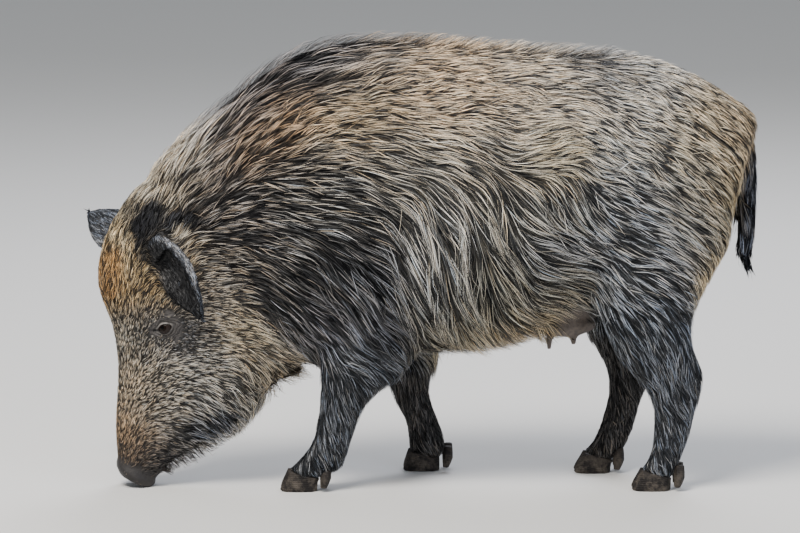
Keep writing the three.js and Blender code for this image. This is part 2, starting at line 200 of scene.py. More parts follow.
# The faceted solids are evened out, most on the trunk, and the skin sinks in by the depth of the coat.
trunk_share = share_of("neck", "forequarters", "barrel", "hindquarters", "shoulder", "thigh")
limb_share = share_of("head", "lower_jaw", "snout", "forearm", "shank")
skin_co = spread(skin_co, skin_edges, 45, np.clip(0.5 * trunk_share + 0.12 * limb_share, 0, 0.5))
skin_co = spread(skin_co, skin_edges, 5, 0.4 * (1 - share_of("ear", "nose_disc")))
belongs = spread(belongs, skin_edges, 22)
depth = belongs @ np.array([[COAT_DEPTH[kind] / 1000] for kind in KINDS])
skin_normal = normals_of(hide, skin_co)
along, across, height = (skin_co - ZERO).T
crest = smoothstep(0.35, 0.85, skin_normal[:, 2]) * np.exp(-(across / MANE_HALF) ** 2)
crest = crest * smoothstep(-0.51, -0.40, along) * (1 - smoothstep(0.3, 0.55, along))
under = smoothstep(-0.15, -0.75, skin_normal[:, 2]) * (share_of("barrel", "forequarters")
                                                       + 1.5 * share_of("lower_jaw"))[:, 0]
depth = spread(depth + (MANE_DEPTH * crest + FRINGE_DEPTH * under)[:, None], skin_edges, 12)
skin_co = skin_co - depth * skin_normal
skin_co = spread(skin_co, skin_edges, 2, 0.3 * (1 - share_of("ear")))
skin_normal = normals_of(hide, skin_co)

# The lids lie close on the ball of the eye, open in an almond, with folds round them and a tear line
# that runs from the front corner down the face.
EYE_RADIUS = (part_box("eye_left")[1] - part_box("eye_left")[0])[0] / 2
LID_OPEN = (0.0128, 0.0088)  # half the almond's length and height
LID_THICK = 0.0016
LID_LEAN = math.radians(24)  # the front corner hangs lower
FOLD = 0.0013  # how high the folds stand
FOLD_WIDTH = 0.62  # from one fold to the next, next to the almond's own size
TEAR_LENGTH, TEAR_WIDTH, TEAR_DEPTH = 0.020, 0.0022, 0.0026
EYE_REACH = 0.04  # the lids and folds end within this
bare = share_of("nose_disc", "udder")[:, 0].copy()
lid_rim_highlight, tear, crease = np.zeros((3, len(skin_co)))
for eye in EYES:
    centre = np.array(middle_of(eye))
    away = np.linalg.norm(skin_co - centre, axis=1)
    facing = unit(skin_normal[(away > 0.022) & (away < 0.036)].mean(axis=0))
    back = unit(np.array([1, 0, 0]) - facing * facing[0])
    rise = np.cross(facing, back)
    rise = rise if rise[2] > 0 else -rise
    long_axis = math.cos(LID_LEAN) * back + math.sin(LID_LEAN) * rise
    short_axis = math.cos(LID_LEAN) * rise - math.sin(LID_LEAN) * back
    local = skin_co - centre
    a, b, out = local @ long_axis, local @ short_axis, local @ facing
    half_open = LID_OPEN[1] * (1 - 0.25 * (a / LID_OPEN[0]).clip(-1, 1) ** 2)
    almond = np.hypot(a / LID_OPEN[0], b / half_open)
    ball = np.sqrt(np.maximum(EYE_RADIUS ** 2 - a ** 2 - b ** 2, (0.35 * EYE_RADIUS) ** 2))
    lid = ball + LID_THICK * (1 - 0.35 * smoothstep(1, 1.7, almond))
    lid = np.where(almond < 1, ball - 0.004 * smoothstep(1, 0.86, almond), lid)
    near = (away < EYE_REACH) & (out > -EYE_REACH / 2)
    level = np.median(out[near & (almond > 2.6) & (almond < 3.2)])
    calm = np.maximum(out, level - 0.002)
    wide = smoothstep(1.15, 2.4, almond)
    target = lid * (1 - wide) + calm * wide
    fold_end = np.where(a > 0, 4.0, 2.6)
    folds = smoothstep(1.1, 1.3, almond) * smoothstep(fold_end, fold_end - 0.9, almond)
    bent = almond + 0.22 * np.sin(a * 190 + 1.3 * b * 240) * smoothstep(1.2, 2.2, almond)
    wave = np.cos((bent - 1.25) * 2 * math.pi / FOLD_WIDTH)
    target += FOLD * wave * folds
    # The troughs of the folds are kept to be painted darker, as painted shade in the creases.
    crease = np.maximum(crease, np.where(near, folds * smoothstep(-0.2, -0.9, wave), 0))
    corner = a + LID_OPEN[0]  # from the front corner of the lids on
    tear_line = np.exp(-(np.abs(b + 0.35 * corner - 0.001) / TEAR_WIDTH) ** 2)
    tear_line *= smoothstep(-TEAR_LENGTH, -0.004, corner) * smoothstep(0.003, -0.001, corner)
    target -= TEAR_DEPTH * tear_line
    # The tear groove and the lid margin at the opening are kept to be painted nearly black, as painted
    # shade.
    tear = np.maximum(tear, np.where(near, np.maximum(tear_line, smoothstep(1.12, 1.02, almond)), 0))
    # The rim of the lids is painted pale as a painted highlight, strongest on the upper lid where the
    # light falls.
    upper = 0.2 + 0.8 * smoothstep(-0.001, 0.004, b)
    lid_rim_highlight = np.maximum(lid_rim_highlight, np.where(near, np.exp(-((almond - 1.22) / 0.13) ** 2) * upper, 0))
    behind = smoothstep(0.039, 0.029, away) * smoothstep(-0.002, 0.008, a)
    weight = np.where(near, np.maximum(smoothstep(3.4, 2.5, almond), behind), 0)
    skin_co = skin_co + (weight * (target - out))[:, None] * facing
    bare = np.maximum(bare, np.where(near, np.maximum(smoothstep(3.1, 1.8, almond), 0.75 * behind), 0))

# The nostrils open side by side in the gristly disc at the end of the snout.
NOSTRIL_OUT, NOSTRIL_RADIUS, NOSTRIL_DEPTH, NOSTRIL_RIM = 0.0125, 0.0065, 0.009, 0.0012
nose_facing = unit(skin_normal[share_of("nose_disc")[:, 0] > 0.8].mean(axis=0))
nose_side = unit(np.cross(nose_facing, (0, 0, 1)))
nose_up = np.cross(nose_side, nose_facing)
nose_local = skin_co - NOSE
for side in (-1, 1):
    ring = np.hypot(nose_local @ nose_side - side * NOSTRIL_OUT, (nose_local @ nose_up) * 0.8)
    ring = ring / NOSTRIL_RADIUS
    ring = np.where(share_of("nose_disc")[:, 0] > 0.25, ring, 9)
    skin_co = skin_co - (NOSTRIL_DEPTH * smoothstep(1.25, 0.5, ring))[:, None] * nose_facing
    skin_co = skin_co + (NOSTRIL_RIM * np.exp(-((ring - 1.5) / 0.4) ** 2))[:, None] * nose_facing
skin_normal = normals_of(hide, skin_co)
hide.shade_smooth()


def linear(colour):
    """Linear red, green and blue of an sRGB colour written in hex."""
    parts = [int(colour[i:i + 2], 16) / 255 for i in (1, 3, 5)]
    return [part / 12.92 if part <= 0.04045 else ((part + 0.055) / 1.055) ** 2.4 for part in parts]


def mixed(below, above, share):
    """One value or colour laid over another by a share of 0 to 1."""
    return below * (1 - share) + above * share


# The lie and the colours of the coat, tract by tract, for skin and hair alike. Each line has a tract's
# place seen from the side (x back, z up), how far it reaches and how long its hair is, all in
# millimetres, the way the hair points (back, up), the colour of its tips and of its roots, and the
# share of it that is light.
HEAD_TRACTS = [
    ("nose end", -477, 42, 34, 8, (0.5, 0.7), "#57504a", "#1d1b1b", 0.30),
    ("chin", -420, 30, 34, 13, (0.8, -0.3), "#4d4844", "#18171a", 0.30),
    ("nose bridge low", -500, 88, 34, 12, (0.25, 1), "#b0906c", "#231f1d", 0.60),
    ("nose bridge", -495, 170, 40, 13, (0.3, 1), "#ccb594", "#242120", 0.62),
    ("nose bridge high", -500, 255, 36, 13, (0.35, 1), "#b2a998", "#222121", 0.50),
    ("forehead", -520, 358, 32, 22, (0.15, 1), "#b99c70", "#2a221c", 0.52),
    ("forehead top", -508, 443, 36, 26, (0.25, 1), "#d2bd96", "#28231f", 0.70),
    ("crown", -450, 548, 44, 46, (0.25, 1), "#f0e2c8", "#2d2826", 1.00),
    ("ear front", -478, 474, 19, 20, (0.3, 1), "#26262a", "#101012", 0.22),
    ("brow", -423, 361, 30, 18, (0.4, 0.9), "#a08a64", "#232020", 0.48),
    ("eye", -423, 292, 26, 9, (0.5, 0.8), "#8a857f", "#2f2d2e", 0.42),
    ("temple", -360, 325, 34, 15, (1, 0.1), "#a39a8d", "#1c1b1d", 0.46),
    ("muzzle", -432, 160, 38, 13, (0.85, 0.35), "#b9b1a2", "#1d1c1e", 0.52),
    ("cheek", -360, 224, 42, 16, (1, 0.05), "#c2bbae", "#1c1c1e", 0.54),
    ("cheek back", -279, 288, 36, 25, (1, -0.2), "#c8b798", "#1e1d1e", 0.64),
    ("cheek edge", -215, 261, 30, 44, (0.75, -0.65), "#d2c8b4", "#18181a", 0.70),
    ("lip", -396, 88, 32, 20, (0.8, -0.4), "#868079", "#121214", 0.32),
    ("jaw", -333, 142, 32, 48, (0.6, -0.8), "#d2cdc4", "#0f1013", 0.44),
    ("jaw back", -270, 170, 32, 60, (0.5, -0.85), "#c6beac", "#131315", 0.50),
    ("jaw corner", -225, 197, 28, 62, (0.6, -0.8), "#b09a78", "#131314", 0.46)]
BODY_TRACTS = [
    ("crown", -414, 590, 44, 62, (0.35, 0.95), "#eee0c8", "#2a2625", 1.00),
    ("nape", -360, 660, 46, 82, (0.5, 0.9), "#bfc2c8", "#14151a", 0.50),
    ("nape crest", -306, 700, 44, 88, (0.72, 0.66), "#7c7d84", "#0b0c10", 0.03),
    ("mane front", -230, 750, 48, 88, (0.75, 0.62), "#828186", "#0b0c10", 0.02),
    ("mane", -150, 785, 50, 82, (0.8, 0.55), "#8d8786", "#0c0d11", 0.04),
    ("withers", -60, 800, 48, 62, (0.88, 0.45), "#b3a391", "#0f1014", 0.20),
    ("back", 54, 800, 54, 36, (1, 0.28), "#d6bd9c", "#191c25", 0.56),
    ("loin", 200, 790, 54, 36, (1, 0.15), "#d0c0a9", "#191c25", 0.58),
    ("croup", 324, 780, 42, 48, (1, -0.05), "#8d8883", "#17181c", 0.42),
    ("rump top", 432, 745, 54, 36, (0.95, -0.3), "#cfc8bb", "#191c25", 0.62),
    ("rump end", 558, 690, 50, 36, (0.8, -0.6), "#c9b696", "#17171a", 0.58),
    ("tail root", 612, 640, 34, 38, (0.55, -0.8), "#b9a382", "#1f1e1e", 0.56),
    ("ear front", -472, 488, 20, 22, (0.3, 1), "#26262a", "#101012", 0.22),
    ("over the ear", -432, 514, 20, 30, (0.4, 0.9), "#9c8f7a", "#161517", 0.46),
    ("ear back", -345, 540, 34, 34, (0.6, 0.75), "#857b72", "#101013", 0.36),
    ("upper neck", -297, 612, 34, 38, (0.78, 0.55), "#bd9e7c", "#161414", 0.20),
    ("upper shoulder", -222, 660, 32, 40, (0.85, 0.35), "#c2a27d", "#161415", 0.36),
    ("mid neck", -279, 489, 40, 42, (0.95, 0.25), "#9a9188", "#0c0d11", 0.05),
    ("neck back", -180, 526, 46, 58, (1, 0), "#b0aaa0", "#090a0e", 0.05),
    ("under the ear", -306, 407, 34, 34, (1, 0), "#9c9080", "#121215", 0.22),
    ("lower neck", -198, 361, 46, 56, (0.85, -0.5), "#8e8a84", "#090a0e", 0.03),
    ("throat", -190, 240, 40, 44, (0.4, -0.9), "#57534f", "#101114", 0.28),
    ("shoulder top", -108, 672, 52, 38, (0.95, 0.15), "#cfb792", "#131317", 0.50),
    ("shoulder", -108, 544, 50, 62, (0.95, -0.2), "#b7b0a4", "#0c0d11", 0.12),
    ("shoulder low", -90, 416, 54, 74, (0.7, -0.7), "#85868a", "#050609", 0.03),
    ("breast", -162, 318, 40, 56, (0.8, -0.6), "#85838a", "#0c0d11", 0.24),
    ("elbow front", -108, 250, 44, 50, (0.85, -0.5), "#868c94", "#101216", 0.32),
    ("elbow back", -27, 197, 38, 58, (0.9, -0.35), "#7b828c", "#101216", 0.32),
    # The tract in the elbow fold is painted dark, as painted shadow in the fold behind the elbow.
    ("elbow fold", -27, 300, 40, 60, (0.5, -0.85), "#55555a", "#0c0d10", 0.22),
    ("lock top", 0, 589, 38, 84, (0.95, -0.2), "#c6beae", "#0f1115", 0.34),
    ("lock bend", 45, 516, 32, 112, (0.5, -0.87), "#dcd9d2", "#0b0d11", 0.39),
    ("lock", 54, 416, 40, 108, (0.18, -1), "#c6c3bb", "#0a0c10", 0.26),
    ("lock end", 72, 307, 40, 80, (0.4, -0.9), "#b7af9a", "#0f1013", 0.40),
    ("belly front", 90, 258, 38, 64, (0.45, -0.9), "#ab9d80", "#0e0c0b", 0.46),
    ("belly", 180, 258, 46, 62, (0.5, -0.85), "#bda67e", "#0f0d0b", 0.45),
    ("belly back", 250, 290, 38, 48, (0.8, -0.6), "#a2906f", "#0f0d0b", 0.42),
    ("second lock top", 126, 617, 38, 72, (0.9, -0.4), "#c8bfae", "#101216", 0.36),
    ("second lock bend", 162, 516, 32, 100, (0.35, -0.94), "#c1bdb1", "#0c0e12", 0.31),
    ("second lock", 162, 398, 44, 96, (0.25, -0.97), "#aea896", "#0b0d11", 0.26),
    ("upper back", 90, 717, 56, 34, (1, -0.05), "#dfc4a0", "#191c25", 0.63),
    ("upper loin", 252, 717, 56, 36, (0.98, -0.15), "#d4c5ae", "#191c25", 0.61),
    ("swirl", 250, 612, 26, 56, (1, 0.35), "#bdb096", "#14161a", 0.54),
    ("swirl low", 281, 535, 28, 66, (0.45, -0.9), "#afaca3", "#0d0f14", 0.26),
    ("flank", 261, 453, 40, 66, (0.97, -0.22), "#b0b1b2", "#0d0f13", 0.20),
    ("low flank", 270, 368, 36, 58, (0.97, -0.25), "#aea693", "#131418", 0.44),
    ("rump", 396, 635, 56, 42, (0.9, -0.4), "#c3beb2", "#191c25", 0.56),
    ("rump side", 504, 620, 50, 40, (0.85, -0.5), "#beb29a", "#131418", 0.52),
    ("haunch", 396, 507, 50, 50, (0.85, -0.5), "#b4b6b8", "#0d0f13", 0.32),
    ("haunch back", 504, 507, 46, 54, (0.92, -0.35), "#aca698", "#151619", 0.48),
    ("thigh", 432, 407, 46, 56, (0.97, -0.22), "#a4a7ab", "#0c0e12", 0.25),
    ("thigh edge", 590, 540, 34, 44, (0.5, -0.85), "#b7a27a", "#1d1813", 0.55),
    ("thigh edge low", 562, 398, 36, 42, (0.45, -0.9), "#bfa980", "#1f1913", 0.58),
    ("stifle", 360, 343, 38, 44, (0.5, -0.85), "#828890", "#0f1115", 0.30),
    ("gaskin", 450, 307, 42, 44, (0.75, -0.65), "#7d848e", "#101216", 0.30),
    ("gaskin back", 522, 270, 36, 44, (0.8, -0.6), "#747b86", "#101216", 0.28)]
NEAR_LEG = ("leg", 38, (0.38, -1), "#6b6f76", "#121418", 0.33)
FAR_LEG = ("right leg", 34, (0.3, -1), "#524e4b", "#0d0d0f", 0.28)
EAR_HAIR = ("ear", 13, (0.5, 0.5), "#1b1c1f", "#0b0b0d", 0.20)
EAR_BACK = ("#636974", "#17191d", 0.5)
# The ear's rim colours are a painted highlight on its edge.
EAR_RIM_HIGHLIGHT = ("#8b8d92", "#3a3b3e", 0.7)
EAR_HALF = 0.07  # half the length of an ear
EAR_TUFT = 0.026  # how much longer the hair is at the ear's tip
TAIL_HAIR = ("tail", 60, (0.05, -1), "#666a74", "#111216", 0.42)
EAR_TIPS = {"ear_left": (-0.347, -0.210, 0.334), "ear_right": (-0.565, 0.098, 0.474)}
EAR_OPENS = {"ear_left": (-0.32, -0.82, -0.3), "ear_right": (-0.4, 0.8, -0.1)}
# Marks with edges of their own: place, half length and half height in millimetres and lean backwards
# in degrees of each, with its hair's length, tips, roots and light share.
PATCHES = [("before the ear", -446, 456, 36, 56, 0, 20, "#222227", "#0a0a0c", 0.10),
           ("over the ear", -396, 478, 34, 15, 0, 24, "#34353b", "#0b0b0d", 0.20),
           ("blaze", -520, 372, 24, 52, 8, 20, "#b28b5a", "#2e241b", 0.58),
           ("behind the eye", -386, 280, 20, 40, 12, 8, "#8a8682", "#2c2b2c", 0.36),
           ("jaw shadow", -350, 122, 50, 22, -32, 44, "#8a8d94", "#0c0d10", 0.26)]


def tract_values(tract):
    """The length, lie, tips, roots and light share of a tract's hair, as eleven numbers."""
    length, lie, tips, roots, light = tract[-5:]
    return [length / 1000, lie[0], 0, lie[1], *linear(tips), *linear(roots), light]


def blended(tracts, x, z):
    """The values of a set of tracts at points x, z, each tract counting by how near it is."""
    weight = []
    for _, at_x, at_z, reach, *_ in tracts:
        square = (x - at_x / 1000) ** 2 + (z - at_z / 1000) ** 2
        weight.append(np.exp(-square / (2 * (reach / 1000) ** 2)) / reach ** 1.5)
    weight = np.array(weight).T + 1e-12
    values = np.array([tract_values(tract) for tract in tracts])
    return (weight @ values) / weight.sum(axis=1, keepdims=True)


def waves(points, size, seed, count=14):
    """Smooth noise from about -1 to 1, of that size in metres."""
    random = np.random.default_rng(seed)
    turns = unit(random.normal(size=(count, 3))) * (2 * math.pi / size)
    turns = turns * random.uniform(0.6, 1.5, (count, 1))
    height_of_each = np.sin(points @ turns.T + random.uniform(0, 2 * math.pi, count))
    return height_of_each.sum(axis=1) / math.sqrt(count / 2) / 1.6


along, across, height = (skin_co - ZERO).T
HEAD = share_of("head", "lower_jaw", "snout", "nose_disc")
LEG = share_of("forearm", "shank", "cannon")
EAR = share_of("ear")
TAIL = share_of("tail", "tail_tuft") * smoothstep(0.57, 0.60, along)[:, None]
looks = blended(BODY_TRACTS, along, height) * (1 - HEAD) + blended(HEAD_TRACTS, along, height) * HEAD
ragged = 0.16 * waves(skin_co, 0.03, 21)
ALL_BUT_LIE = [0, 4, 5, 6, 7, 8, 9, 10]
for _, x, z, half_long, half_high, lean, *hair in PATCHES:
    lean = math.radians(lean)
    over, up = along - x / 1000, height - z / 1000
    ring = np.hypot((over * math.cos(lean) - up * math.sin(lean)) / half_long,
                    (over * math.sin(lean) + up * math.cos(lean)) / half_high) * 1000
    share = smoothstep(1.25, 0.75, ring + ragged)[:, None] * (1 - EAR)
    values = np.array([hair[0] / 1000, *linear(hair[1]), *linear(hair[2]), hair[3]])
    looks[:, ALL_BUT_LIE] = mixed(looks[:, ALL_BUT_LIE], values, share)
# Hair is short on the feet, with a fringe over the hooves, and long at the tips of the ears.
foot = smoothstep(0.19, 0.06, height)[:, None]
for share, tract in ((LEG * (across < 0)[:, None], NEAR_LEG), (LEG * (across >= 0)[:, None], FAR_LEG),
                     (EAR, EAR_HAIR), (TAIL, TAIL_HAIR)):
    looks = mixed(looks, np.array([tract_values(tract)]), share)
FRINGE, FRINGE_AT, FRINGE_HALF = 0.02, 0.062, 0.014
looks[:, :1] *= 1 - 0.5 * foot * LEG
looks[:, :1] += FRINGE * LEG * np.exp(-((height - FRINGE_AT) / FRINGE_HALF) ** 2)[:, None]
for ear, tip in EAR_TIPS.items():
    low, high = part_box(ear)
    at = np.all((skin_co > np.array(low) - 0.01) & (skin_co < np.array(high) + 0.01), axis=1)[:, None]
    lie = unit(ZERO + tip - np.array(middle_of(ear)))
    looks[:, 1:4] = np.where(at, mixed(looks[:, 1:4], lie, EAR), looks[:, 1:4])
    opens = np.array(EAR_OPENS[ear])
    rear = unit(np.cross(opens, lie) * (1 if ear == "ear_left" else -1))
    local = skin_co - np.array(middle_of(ear))
    outward = (local @ lie)[:, None] / EAR_HALF
    rearward = (local @ rear)[:, None]
    looks[:, :1] += np.where(at, EAR_TUFT * EAR * outward.clip(0, 1) ** 2, 0)
    # The back of the ear and its rear half are blue-grey, its hollow is left black, the ear's own black
    # and painted shade of the cup, and its upper rim is painted grey as a painted highlight on a rolled
    # edge.
    is_back = smoothstep(0.2, -0.3, skin_normal @ unit(opens))[:, None]
    steps = np.floor(outward / 0.12)
    edge = np.zeros_like(outward)
    for step in np.unique(steps[(at & (EAR > 0.6))]):
        here = (steps == step) & at & (EAR > 0.6)
        edge = np.where(here, rearward / rearward[here].max(), edge)
    edge = spread(edge, skin_edges, 2)
    grey = np.where(at, EAR * np.maximum(is_back, smoothstep(0.35, 0.8, edge) * 0.6), 0)
    # The rim share is where the painted highlight on the ear's edge goes.
    rim = np.where(at, EAR * smoothstep(0.72, 0.9, edge) * smoothstep(0.75, 0.2, outward), 0)
    for share, (tips, roots, light) in ((grey, EAR_BACK), (rim, EAR_RIM_HIGHLIGHT)):
        looks[:, 4:] = mixed(looks[:, 4:], np.array([*linear(tips), *linear(roots), light]), share)
# Over the back the hair parts to both sides, and it turns in slow waves.
looks[:, 2] += (0.25 * np.tanh(across / 0.05) * (1 - EAR[:, 0]) * smoothstep(0.3, 0.9, skin_normal[:, 2]))
turn = 0.14 * waves(skin_co, 0.11, 5) * (1 - EAR[:, 0]) * (1 - 0.6 * HEAD[:, 0])
# Behind the shoulder long locks arch over one another in bands.
BAND_X, BAND_Z, BAND_WIDTH = 0.135, 0.45, 0.072
bands = np.exp(-((along - BAND_X) / 0.13) ** 2 - ((height - BAND_Z) / 0.14) ** 2)
phase = 2 * math.pi * (along + 0.25 * (height - BAND_Z)) / BAND_WIDTH + 0.7 * waves(skin_co, 0.16, 8)
turn += 0.52 * bands * np.sin(phase) * np.where(across < 0, 1, -1)
lie = looks[:, 1:4] - (looks[:, 1:4] * skin_normal).sum(axis=1, keepdims=True) * skin_normal
lie = lie * np.cos(turn)[:, None] + np.cross(skin_normal, lie) * np.sin(turn)[:, None]
lie = unit(spread(unit(lie), skin_edges, 3))
tip_colour, root_colour = looks[:, 4:7], looks[:, 7:10]
# Each band is painted paler along its crest and duller in the trough between bands, as painted light and
# shade of the arching locks.
light = looks[:, 10] + 0.13 * bands * np.sin(phase + 1.2)
band_trough_shade = (0.5 * bands * smoothstep(-0.3, -0.9, np.sin(phase + 1.2)))[:, None]
tip_colour = mixed(tip_colour, np.array(linear("#7c725a")), band_trough_shade)

# Bare skin is dusky grey, browner on the udder and in the groin and darkest on the nose. The fold
# troughs, the tear groove and the lid margin are painted dark as painted shade, and the lid rim is
# painted pale as a painted highlight, strongest on the upper lid.
GROIN_X, GROIN_Z, GROIN_RADIUS = 0.303, 0.302, 0.036
bare_eye = np.clip(bare - share_of("nose_disc", "udder")[:, 0], 0, 1)
groin = np.hypot((along - GROIN_X) / GROIN_RADIUS, (height - GROIN_Z) / GROIN_RADIUS) + ragged
groin = smoothstep(1.15, 0.7, groin) * (1 - LEG[:, 0])
bare = np.maximum(bare, groin)
udder_skin = share_of("udder")[:, 0]
udder_skin = udder_skin + groin * (1 - udder_skin)
# Under the coat the hide is painted about as dark as the hair's roots: partly its own dark grey, partly
# painted shade of the coat over it.
hide_colour = root_colour * 0.85 + tip_colour * 0.06
for share, colour in ((bare_eye, "#4d4947"), (share_of("nose_disc")[:, 0], "#1f1b1a"),
                      (udder_skin, "#574d46"), (crease * 0.45, "#2a2726"), (lid_rim_highlight, "#827d78"),
                      (np.clip(tear * 1.3, 0, 1), "#151213")):
    hide_colour = mixed(hide_colour, np.array(linear(colour)), share[:, None])


def paint(mesh, name, values):
    """Keeps a colour or a number for each point of a mesh, for its material."""
    is_colour = values.ndim == 2
    kept = mesh.attributes.new(name, "FLOAT_COLOR" if is_colour else "FLOAT", "POINT")
    if is_colour:
        values = np.concatenate([values, np.ones((len(values), 1))], axis=1)
    kept.data.foreach_set("color" if is_colour else "value", values.astype(np.float32).ravel())


paint(hide, "marks", hide_colour)
paint(hide, "bare", bare)


def node(tree, kind, inputs=None, **settings):
    """Adds a shader node. Inputs are values or sockets of other nodes, by name or number."""
    made = tree.nodes.new("ShaderNode" + kind)
    for key, value in settings.items():
        setattr(made, key, value)
    for key, value in (inputs or {}).items():
        if isinstance(value, bpy.types.NodeSocket):
            tree.links.new(value, made.inputs[key])
        else:
            made.inputs[key].default_value = value
    return made


def material(name, values):
    """A new material, its node tree and its shader with those values set."""
    made = bpy.data.materials.new(name)
    made.use_nodes = True
    shader = made.node_tree.nodes["Principled BSDF"]
    for socket, value in values.items():
        shader.inputs[socket].default_value = value
    return made, made.node_tree, shader


# Boar hide: dull and leathery under the hair, a little moist where it is bare, with a mottle of 6 mm,
# pores drawn as coarse as they need to show, 1.4 mm apart, and creases of 3 mm.
MOTTLE, PORES, CREASES = 160.0, 700.0, 330.0  # to the metre
hide_leather, tree, shader = material("hide_leather", {})
place = node(tree, "TexCoord").outputs["Object"]
marks = node(tree, "Attribute", attribute_name="marks").outputs["Color"]
bareness = node(tree, "Attribute", attribute_name="bare").outputs["Fac"]
mottle = node(tree, "TexNoise", {"Vector": place, "Scale": MOTTLE, "Detail": 5.0, "Roughness": 0.6})
shade = node(tree, "MapRange", {"Value": mottle.outputs["Fac"], "From Min": 0.3, "From Max": 0.7,
                                "To Min": 0.62, "To Max": 1.3})
tone = node(tree, "VectorMath", {0: marks, 1: shade.outputs[0]}, operation="MULTIPLY")
tree.links.new(tone.outputs[0], shader.inputs["Base Color"])
moist = node(tree, "MapRange", {"Value": bareness, "To Min": 0.75, "To Max": 0.5})
tree.links.new(moist.outputs[0], shader.inputs["Roughness"])
pores = node(tree, "TexVoronoi", {"Vector": place, "Scale": PORES})
creases = node(tree, "TexNoise", {"Vector": place, "Scale": CREASES, "Detail": 4.0, "Roughness": 0.6})
relief = node(tree, "Math", {0: pores.outputs["Distance"], 1: creases.outputs["Fac"]}, operation="ADD")
bump = node(tree, "Bump", {"Height": relief.outputs[0], "Strength": 0.7, "Distance": 0.0006})
tree.links.new(bump.outputs[0], shader.inputs["Normal"])

hide.materials.clear()
hide.materials.append(hide_leather)
hide.name = "hide"
skin = piece_from(hide, "skin")
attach(skin, "root")
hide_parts(*FLESH)
fewer = skin.modifiers.new("fewer faces", "DECIMATE")
fewer.decimate_type, fewer.ratio = "COLLAPSE", 0.6

# ---------- the eyes ----------
# A boar's eyes are small, dark brown balls with a round pupil, wet and deep set. They are the frame's
# own balls, smoothed, and the lids of the skin close over their edges.
EYE_AXES = {"eye_left": (-0.42, -0.88, 0.10), "eye_right": (-0.42, 0.88, 0.10)}
IRIS, PUPIL = 0.0066, 0.0034  # radius
# Wet eye: a clear film over dark brown tissue, the smoothest surface of the animal.
for eye in EYES:
    wet_eye, tree, shader = material(f"wet_{eye}", {"Roughness": 0.09, "IOR": 1.376,
                                                    "Specular IOR Level": 0.15})
    centre = middle_of(eye)
    gaze = Vector(EYE_AXES[eye]).normalized()
    place = node(tree, "TexCoord").outputs["Object"]
    local = node(tree, "VectorMath", {0: place, 1: centre}, operation="SUBTRACT").outputs[0]
    off_axis = node(tree, "VectorMath", {0: local, 1: gaze}, operation="CROSS_PRODUCT").outputs[0]
    ring = node(tree, "VectorMath", {0: off_axis}, operation="LENGTH").outputs["Value"]
    across_eye = node(tree, "MapRange", {"Value": ring, "From Max": 2 * IRIS})
    ramp = node(tree, "ValToRGB", {"Fac": across_eye.outputs[0]})
    pupil, iris = ramp.color_ramp.elements
    pupil.position, pupil.color = PUPIL / IRIS / 2, (*linear("#060505"), 1)
    iris.position, iris.color = PUPIL / IRIS / 2 + 0.06, (*linear("#170e09"), 1)
    ramp.color_ramp.elements.new(0.5).color = (*linear("#140c08"), 1)
    ramp.color_ramp.elements.new(0.58).color = (*linear("#2b2422"), 1)
    tree.links.new(ramp.outputs[0], shader.inputs["Base Color"])
    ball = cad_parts[eye]
    ball.data.materials.clear()
    ball.data.materials.append(wet_eye)
    ball.data.shade_smooth()

# ---------- the hooves and dewclaws ----------
# Each foot stands on two hooves, with two dewclaws hung behind. They are dark horn, grown in rings from
# the coronet down, with dry soil caked on them, most of it at the ground edge.
HOOVES = [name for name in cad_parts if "hoof" in name or "dewclaw" in name]
HORN_EDGE = 0.0015  # how far the worn edges are rounded
# Hoof horn: dull, dark and faintly ringed every 3.5 mm, with scuffs of 8 mm, and pale dry soil in
# clods of 18 mm.
RINGS, SCUFFS, CLODS = 90.0, 120.0, 55.0  # scale of each pattern
horn, tree, shader = material("hoof_horn", {"Roughness": 0.7, "IOR": 1.54, "Specular IOR Level": 0.25})
place = node(tree, "TexCoord").outputs["Object"]
rings = node(tree, "TexWave", {"Vector": place, "Scale": RINGS, "Distortion": 4.0, "Detail": 2.0,
                               "Detail Scale": 2.0}, bands_direction="Z")
scuffs = node(tree, "TexNoise", {"Vector": place, "Scale": SCUFFS, "Detail": 6.0, "Roughness": 0.65})
split = node(tree, "SeparateXYZ", {0: place})
low_down = node(tree, "MapRange", {"Value": split.outputs["Z"], "From Min": 0.002, "From Max": 0.04,
                                   "To Min": 0.9, "To Max": 0.25})
clods = node(tree, "TexNoise", {"Vector": place, "Scale": CLODS, "Detail": 5.0, "Roughness": 0.7})
crust = node(tree, "MapRange", {"Value": clods.outputs["Fac"], "From Min": 0.42, "From Max": 0.62})
dust = node(tree, "Math", {0: low_down.outputs[0], 1: crust.outputs[0]}, operation="MULTIPLY")
tone = node(tree, "Mix", {0: dust.outputs[0], 6: (*linear("#191514"), 1), 7: (*linear("#60584f"), 1)},
            data_type="RGBA")
tree.links.new(tone.outputs[2], shader.inputs["Base Color"])
grain = node(tree, "Math", {0: rings.outputs["Fac"], 1: scuffs.outputs["Fac"]}, operation="ADD")
caked = node(tree, "Math", {0: dust.outputs[0], 1: 2.0, 2: grain.outputs[0]}, operation="MULTIPLY_ADD")
bump = node(tree, "Bump", {"Height": caked.outputs[0], "Strength": 0.7, "Distance": 0.0008})
tree.links.new(bump.outputs[0], shader.inputs["Normal"])
for name in HOOVES:
    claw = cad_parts[name]
    smooth = bmesh.new()
    smooth.from_mesh(claw.data)
    bmesh.ops.remove_doubles(smooth, verts=smooth.verts, dist=TOUCHING)
    bmesh.ops.recalc_face_normals(smooth, faces=smooth.faces)
    round_claw = bpy.data.meshes.new(name + "_horn")
    smooth.to_mesh(round_claw)
    smooth.free()
    worn_claw = piece_from(round_claw, name + "_horn")
    bevel = worn_claw.modifiers.new("bevel", "BEVEL")
    bevel.affect, bevel.width, bevel.segments, bevel.profile = "EDGES", HORN_EDGE, 2, 0.5
    bevel.angle_limit = math.radians(35)
    round_claw.shade_smooth()
    round_claw.materials.clear()
    round_claw.materials.append(horn)
    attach(worn_claw, "root")
    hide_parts(name)

